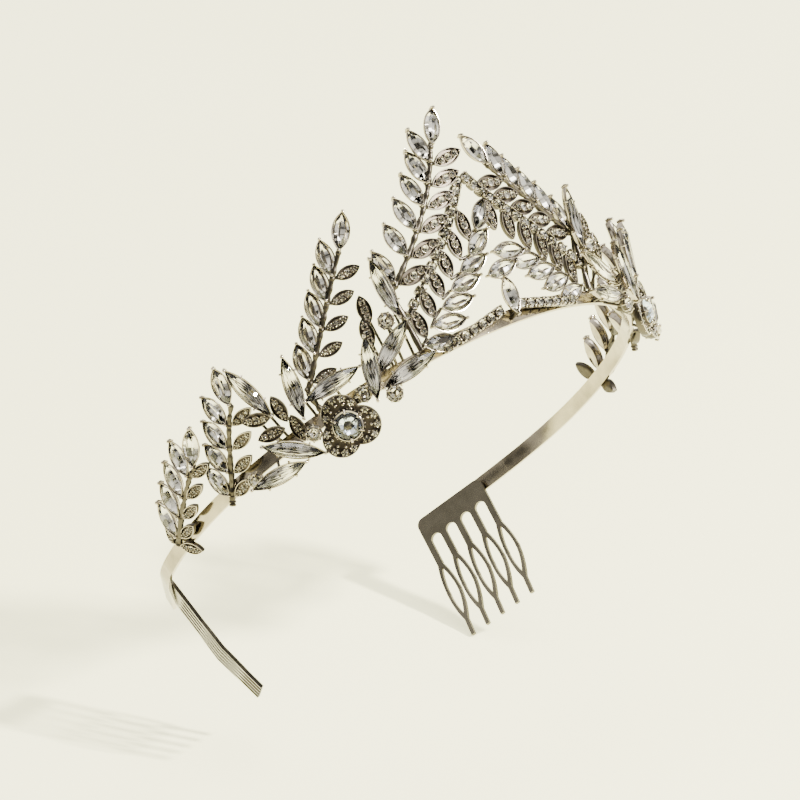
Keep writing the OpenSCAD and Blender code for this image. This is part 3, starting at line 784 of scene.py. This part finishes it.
def flower(side):
    """A casting of three paved petals round a cup, with a grainy stone in six claws."""
    middle = stones("flower_stone_" + side)[0]
    paves = stones("flower_pave_" + side)
    shape = Shape("flower_stone_" + side)
    place_gem(shape, middle, checker(middle.w, 1.2, 1.25, 1.7), 1)
    stand_for(shape.build([COOL, COOL_FOIL, COOL_FOIL]), "flower_stone_" + side)
    gems("flower_pave_" + side, paves)

    far = max((p.at - middle.at - middle.out * (p.at - middle.at).dot(middle.out) for p in paves),
              key=lambda d: d.length)
    middle.along = far.normalized()
    middle.across = middle.along.cross(middle.out)
    petal_out, edge = far.length / MM - PETAL_R, PETAL_R + PETAL_RIM
    n = TREFOIL_RING

    def trefoil(shrink, z):
        ring = []
        for i in range(n):
            a = 2 * math.pi * i / n
            r = 0
            for p in range(3):
                d = a - math.pi / 2 - p * 2 * math.pi / 3
                q = edge ** 2 - (petal_out * math.sin(d)) ** 2
                r = max(r, petal_out * math.cos(d) + math.sqrt(max(q, 0)))
            r -= shrink
            ring.append((r * math.cos(a), r * math.sin(a), z))
        return ring

    seat = middle.w / 2
    rings = [trefoil(1.2, -1.0), trefoil(0.35, -0.9), trefoil(0, -0.4), trefoil(0, 0.85),
             trefoil(0.1, 0.98), trefoil(0.32, 0.98), trefoil(0.42, 0.5), trefoil(0.5, -0.32),
             circle(seat + 0.85, -0.32, n), circle(seat + 0.5, 0.3, n), circle(seat + 0.42, 1.15, n),
             circle(seat + 0.28, 1.25, n), circle(seat + 0.05, 1.2, n), circle(seat - 0.3, -0.8, n)]
    mats = [FACE] * 3 + [OTHER] * 3 + [PIT_OXIDE_AND_SHADE] * 2 + [FACE] * 2 + [OTHER] * 2 + [PIT_OXIDE_AND_SHADE]
    metal = Shape("flower_" + side)
    metal.add(loft(rings, [m for m in mats for _ in range(n)] + [FACE, PIT_OXIDE_AND_SHADE]), middle.matrix())
    for p in paves:
        r = p.w / 2
        collar = [circle(r + 0.17, -0.3), circle(r + 0.17, 0.42), circle(r + 0.08, 0.52),
                  circle(r - 0.03, 0.46)]
        metal.add(loft(collar, close=False), p.matrix())
        for k in range(6):
            a = math.pi * k / 3 + random.uniform(-0.2, 0.2)
            metal.add(ball(random.uniform(0.17, 0.23), OTHER, around=8, up=5),
                      p.matrix((r + 0.13) * math.cos(a), (r + 0.13) * math.sin(a), 0.55))
        inward = (middle.at - p.at).normalized() * (r + 0.75) * MM
        metal.add(ball(0.42, OTHER, squash=0.7), Matrix.Translation(inward) @ p.matrix(0, 0, 0.12))
    grains = 26
    for k in range(grains):
        a = 2 * math.pi * k / grains
        x, y = (seat + 0.72) * math.cos(a), (seat + 0.72) * math.sin(a)
        metal.add(ball(0.22, OTHER, around=8, up=5), middle.matrix(x, y, 0.45))
    for k in range(6):
        a = math.pi * (k / 3 + 0.06)
        c, s = math.cos(a), math.sin(a)
        path = [middle.point(c * (seat + 0.35), s * (seat + 0.35), 0.4),
                middle.point(c * (seat + 0.42), s * (seat + 0.42), 1.5),
                middle.point(c * (seat - 0.05), s * (seat - 0.05), 2.0)]
        metal.add(tube(path, [0.3, 0.34, 0.26], OTHER, n=10), WORLD)
        metal.add(ball(0.32, OTHER), middle.matrix(c * (seat - 0.05), s * (seat - 0.05), 1.96))
    back = middle.point(0, 0, -0.9)
    wire(metal, band_point(back), back, 1.2, 1.2, FACE)
    stand_for(metal.build([ANTIQUE, RECESS_OXIDE_AND_SHADE, SILVER]), "flower_" + side)


def centre():
    """The upright tray on the strip and the level one above it."""
    upright, level = sorted(stones("centre_stones"), key=lambda s: height(s.at))
    if upright.along.dot(BAND_UP) < 0:
        upright.turn()
    gems("centre_stones", [upright, level])
    metal = Shape("centre_setting")
    for s in (upright, level):
        marquise_setting(metal, s)
    foot = upright.point(0, -upright.l / 2, -0.2)
    wire(metal, band_point(foot), foot, 0.6, 0.55)
    wire(metal, upright.point(0, upright.l / 2, -0.2), level.point(0, 0, -0.5), 0.55, 0.55)
    cast(metal)


def bare_metal(node, material, roll):
    """A copy of the CAD shape, with its long edges rolled over by so many millimetres."""
    mesh = NODES[node].data.copy()
    mesh.name = node
    bm = bmesh.new()
    bm.from_mesh(mesh)
    bmesh.ops.remove_doubles(bm, verts=bm.verts, dist=2e-6)
    if roll:
        bmesh.ops.dissolve_limit(bm, angle_limit=math.radians(0.5), verts=bm.verts, edges=bm.edges)
        edges = [e for e in bm.edges if len(e.link_faces) == 2 and e.calc_face_angle(0) > math.radians(60)]
        bmesh.ops.bevel(bm, geom=edges, offset=roll * MM, segments=3, profile=0.6, affect="EDGES",
                        clamp_overlap=True)
    for f in bm.faces:
        f.smooth = bool(roll)
    bm.to_mesh(mesh)
    bm.free()
    if "custom_normal" in mesh.attributes:
        mesh.attributes.remove(mesh.attributes["custom_normal"])
    mesh.materials.clear()
    mesh.materials.append(material)
    mesh.set_sharp_from_angle(angle=math.radians(40))
    piece = bpy.data.objects.new(node, mesh)
    bpy.context.scene.collection.objects.link(piece)
    stand_for(piece, node)


def strip_radius():
    """Distance from the head's axis to the middle of the strip at the front."""
    front = [v.co for v in NODES["headband"].data.vertices if v.co.y < -0.02]
    d = [(p - BAND_UP * p.dot(BAND_UP)).length for p in front]
    return (min(d) + max(d)) / 2


BAND_R = strip_radius()
bare_metal("headband", BAND_METAL, 0.3)
for side in ("left", "right"):
    bare_metal("comb_" + side, STEEL, 0)
    chain("band_chain_" + side, "band_chain_stones_" + side)
    chain("arch_chain_" + side, "arch_stones_" + side)
    for which in ("tall", "middle", "low"):
        spray(f"{which}_spray_{side}", f"{which}_spray_crystals_{side}", f"{which}_spray_pave_{side}")
    inner_spray(side)
    cluster("fan_settings_" + side, "fan_crystals_" + side)
    cluster("cluster_settings_" + side, "cluster_crystals_" + side)
    flower(side)
spray("high_spray", "high_spray_crystals", "high_spray_pave")
centre()


# ---- Floor, light and camera ----

def floor():
    lowest = min(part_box(n)[0].z for n in NODES)
    mesh = bpy.data.meshes.new("floor")
    s, z = FLOOR_HALF, lowest - FLOOR_GAP
    mesh.from_pydata([(-s, -s, z), (s, -s, z), (s, s, z), (-s, s, z)], [], [(0, 1, 2, 3)])
    mat, nodes, links, shader = node_material("floor paper")
    soft = noise(nodes, links, 3, 3)
    tone = ramp(nodes, links, soft.outputs["Fac"], [(0.3, (0.88, 0.86, 0.51)), (0.7, (0.90, 0.885, 0.56))])
    links.new(tone.outputs["Color"], shader.inputs["Base Color"])
    shader.inputs["Roughness"].default_value = 0.7
    links.new(tone.outputs["Color"], shader.inputs["Emission Color"])
    shader.inputs["Emission Strength"].default_value = FLOOR_GLOW
    mesh.materials.append(mat)
    piece = bpy.data.objects.new("floor", mesh)
    bpy.context.scene.collection.objects.link(piece)


def area(name, at, size, power, colour):
    """A rectangular light of so many watts that points at the origin."""
    data = bpy.data.lights.new(name, "AREA")
    data.shape = "RECTANGLE"
    data.size, data.size_y = size
    data.energy = power
    data.color = colour
    piece = bpy.data.objects.new(name, data)
    piece.location = at
    piece.rotation_euler = (-at).to_track_quat("-Z", "Y").to_euler()
    bpy.context.scene.collection.objects.link(piece)


def opening(nodes, links, where, towards, reach, depth):
    """Darkness of the room round a direction: depth at the middle, none beyond the reach."""
    facing = nodes.new("ShaderNodeVectorMath")
    facing.operation = "DOT_PRODUCT"
    facing.inputs[1].default_value = towards
    links.new(where.outputs["Generated"], facing.inputs[0])
    near = nodes.new("ShaderNodeMapRange")
    near.interpolation_type = "SMOOTHSTEP"
    near.inputs["From Min"].default_value = math.cos(math.radians(reach[1]))
    near.inputs["From Max"].default_value = math.cos(math.radians(reach[0]))
    near.inputs["To Max"].default_value = depth
    links.new(facing.outputs["Value"], near.inputs["Value"])
    return near.outputs["Result"]


def world():
    """A pale room with dark openings, one of them behind the camera, which facets mirror."""
    w = bpy.data.worlds.new("studio")
    bpy.context.scene.world = w
    w.use_nodes = True
    nodes, links = w.node_tree.nodes, w.node_tree.links
    where = nodes.new("ShaderNodeTexCoord")
    tex = nodes.new("ShaderNodeTexNoise")
    tex.inputs["Scale"].default_value = 2.3
    tex.inputs["Detail"].default_value = 1.0
    links.new(where.outputs["Generated"], tex.inputs["Vector"])
    dimmed = nodes.new("ShaderNodeMath")
    dimmed.operation = "SUBTRACT"
    links.new(tex.outputs["Fac"], dimmed.inputs[0])
    links.new(opening(nodes, links, where, CAM_DIR, *BEHIND_CAMERA), dimmed.inputs[1])
    tone = ramp(nodes, links, dimmed.outputs["Value"], [
        (0.385, (0.006, 0.006, 0.005)), (0.42, (0.10, 0.09, 0.07)), (0.445, (0.62, 0.59, 0.51)),
        (0.56, (1.0, 0.97, 0.88))])
    colour = tone.outputs["Color"]
    for towards, reach, depth in DARK_SIDES:
        kept = nodes.new("ShaderNodeMath")
        kept.operation = "SUBTRACT"
        kept.inputs[0].default_value = 1
        links.new(opening(nodes, links, where, towards, reach, depth), kept.inputs[1])
        dim = nodes.new("ShaderNodeVectorMath")
        dim.operation = "SCALE"
        links.new(colour, dim.inputs[0])
        links.new(kept.outputs["Value"], dim.inputs["Scale"])
        colour = dim.outputs["Vector"]
    back = nodes["Background"]
    links.new(colour, back.inputs["Color"])
    back.inputs["Strength"].default_value = ROOM_LIGHT


def camera():
    data = bpy.data.cameras.new("camera")
    data.sensor_width = 36
    data.lens = CAM_LENS
    piece = bpy.data.objects.new("camera", data)
    bpy.context.scene.collection.objects.link(piece)
    turn = Matrix((CAM_RIGHT, CAM_UP, CAM_DIR)).transposed().to_4x4()
    piece.matrix_world = Matrix.Translation(AIM + CAM_DIR * CAM_FAR) @ turn
    bpy.context.scene.camera = piece


def level_way(direction):
    return Vector((direction.x, direction.y, 0)).normalized()


floor()
world()
KEY_AT = level_way(CAM_RIGHT) * 1.1 + level_way(CAM_DIR) * 0.38 + Vector((0, 0, 1.1))
area("key", KEY_AT, (0.12, 0.12), 95, (1.0, 0.96, 0.88))
area("top", Vector((0.1, 0.3, 1.5)), (0.9, 0.6), 14, (1.0, 0.985, 0.94))
camera()
